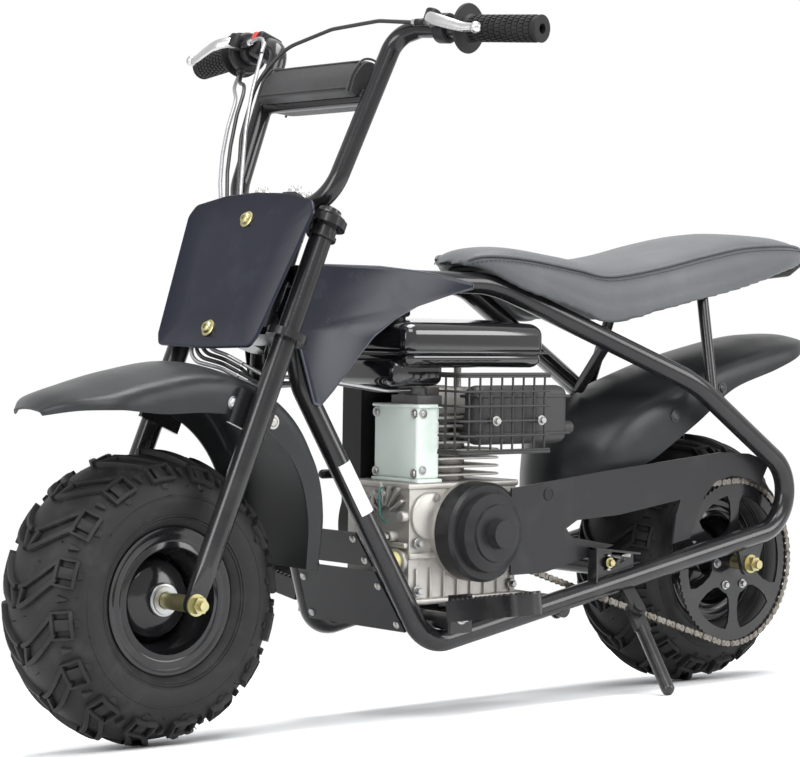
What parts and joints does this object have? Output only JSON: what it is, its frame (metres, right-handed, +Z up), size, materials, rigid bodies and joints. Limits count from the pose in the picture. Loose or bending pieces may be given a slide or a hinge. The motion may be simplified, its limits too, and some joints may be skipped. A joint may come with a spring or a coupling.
{
  "type": "minibike",
  "caption": "Petrol minibike with a tube frame, fat tyres, raked fork, chain drive and padded seat, leaning on its side stand",
  "frame": {"origin": "centre of the bounding box on the floor", "axes": "+X forward, +Y the rider's left, +Z up"},
  "size_m": [1.3472, 0.7004, 0.9115],
  "materials": {
    "frame_black": "gloss black paint",
    "rim_black": "gloss black paint",
    "tyre": "matte rubber",
    "rubber": "matte rubber",
    "plastic_grey": "satin dark grey plastic",
    "panel_navy": "satin navy black plastic",
    "seat_vinyl": "grained grey black vinyl",
    "pad_vinyl": "grained black vinyl",
    "cast_metal": "warm grey casting",
    "shroud_grey": "pale grey green paint",
    "tank_black": "gloss black paint",
    "cap_yellow": "pale yellow plastic",
    "zinc": "yellow zinc plate",
    "lever_metal": "polished aluminium",
    "disc_steel": "ground steel",
    "chain_steel": "oiled steel"
  },
  "bodies": {
    "frame": {"frame_left": "frame_black", "frame_right": "frame_black", "frame_cross": "frame_black", "skid_plate": "frame_black", "side_panel_left": "panel_navy", "side_panel_right": "panel_navy", "seat_base": "frame_black", "seat_cushion": "seat_vinyl", "rear_fender": "plastic_grey", "rear_axle": "zinc", "peg_left": "frame_black", "peg_right": "frame_black", "crankcase": "cast_metal", "cylinder": "cast_metal", "air_shroud": "shroud_grey", "recoil_starter": "plastic_grey", "fuel_tank": "tank_black", "carburettor": "plastic_grey", "muffler": "frame_black", "muffler_guard": "frame_black", "oil_cap": "cap_yellow", "chain_guard": "plastic_grey", "drive_chain": "chain_steel", "brake_caliper": "frame_black", "frame_cables": "rubber"},
    "steering": {"fork_left": "frame_black", "fork_right": "frame_black", "stem_clamps": "frame_black", "front_axle": "zinc", "handlebar": "frame_black", "bar_pad": "pad_vinyl", "grip_left": "rubber", "grip_right": "rubber", "lever_left": "lever_metal", "lever_right": "lever_metal", "number_plate": "panel_navy", "front_fender": "plastic_grey", "bar_cables": "rubber"},
    "front_wheel": {"front_tyre": "tyre", "front_rim": "rim_black"},
    "rear_wheel": {"rear_tyre": "tyre", "rear_rim": "rim_black", "rear_sprocket": "frame_black", "brake_disc": "disc_steel"},
    "side_stand": {"side_stand": "frame_black"}
  },
  "joints": [
    {"name": "steering_turn", "type": "hinge", "parent": "frame", "child": "steering", "pos_m": [0.31262, -0.02047, 0.54403], "axis": [-0.3907, 0.1122, 0.9136], "range_deg": [-32, 32]},
    {"name": "front_spin", "type": "hinge", "parent": "steering", "child": "front_wheel", "pos_m": [0.497, -0.06561, 0.17639], "axis": [0, 0.9925, -0.1219], "continuous": true},
    {"name": "rear_spin", "type": "hinge", "parent": "frame", "child": "rear_wheel", "pos_m": [-0.448, -0.06561, 0.17639], "axis": [0, 0.9925, -0.1219], "continuous": true},
    {"name": "stand_fold", "type": "hinge", "parent": "frame", "child": "side_stand", "pos_m": [-0.203, 0.06737, 0.11069], "axis": [0, 0.8387, 0.5446], "range_deg": [0, 98]}
  ]
}
